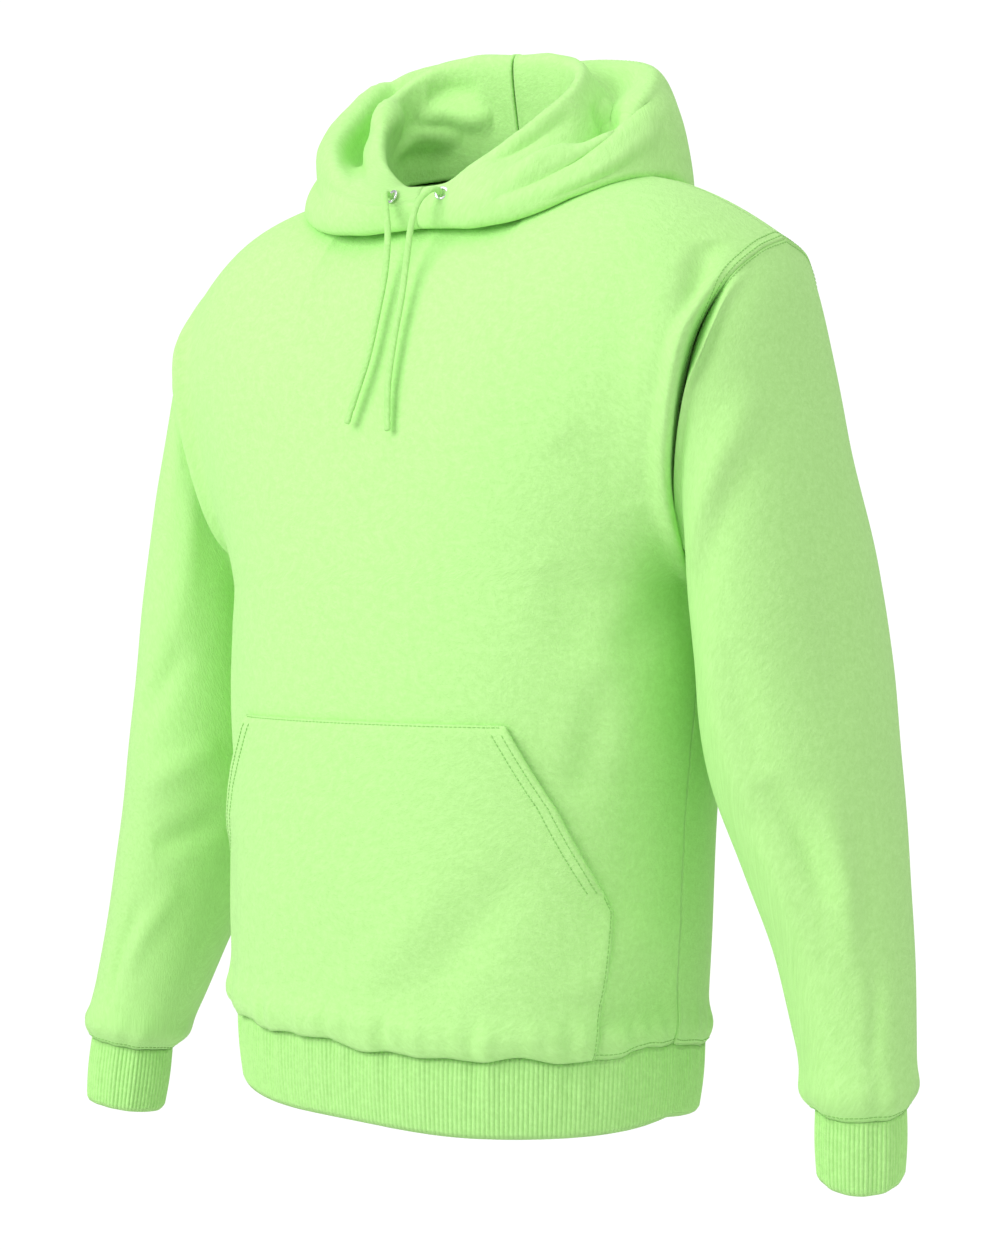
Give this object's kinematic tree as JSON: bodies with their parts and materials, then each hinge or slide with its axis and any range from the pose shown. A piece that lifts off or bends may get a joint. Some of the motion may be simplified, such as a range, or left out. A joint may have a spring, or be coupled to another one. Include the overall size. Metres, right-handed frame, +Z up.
{
  "type": "pullover hoodie",
  "caption": "Worn-shape pullover hoodie with a folded-down hood, pouch pocket, drawcords and ribbed cuffs and hem",
  "frame": {"origin": "middle of the neck base, level with the points where the shoulder seams meet the neckline, where the wearer's neck holds the garment", "axes": "+X towards the wearer's left, -Y out of the garment's front, +Z up"},
  "size_m": [0.7372, 0.2995, 0.8139],
  "materials": {
    "cloth": "matt brushed-back fleece jersey",
    "rib": "matt rib knit",
    "cord": "matt flat braid",
    "eyelet": "polished"
  },
  "bodies": {
    "root": {"front": "cloth", "back": "cloth", "hem_band": "rib", "pouch_pocket": "cloth", "sleeve_left": "cloth", "cuff_left": "rib", "hood_left": "cloth", "eyelet_left": "eyelet", "drawcord_left": "cord", "sleeve_right": "cloth", "cuff_right": "rib", "hood_right": "cloth", "eyelet_right": "eyelet", "drawcord_right": "cord"}
  },
  "joints": []
}
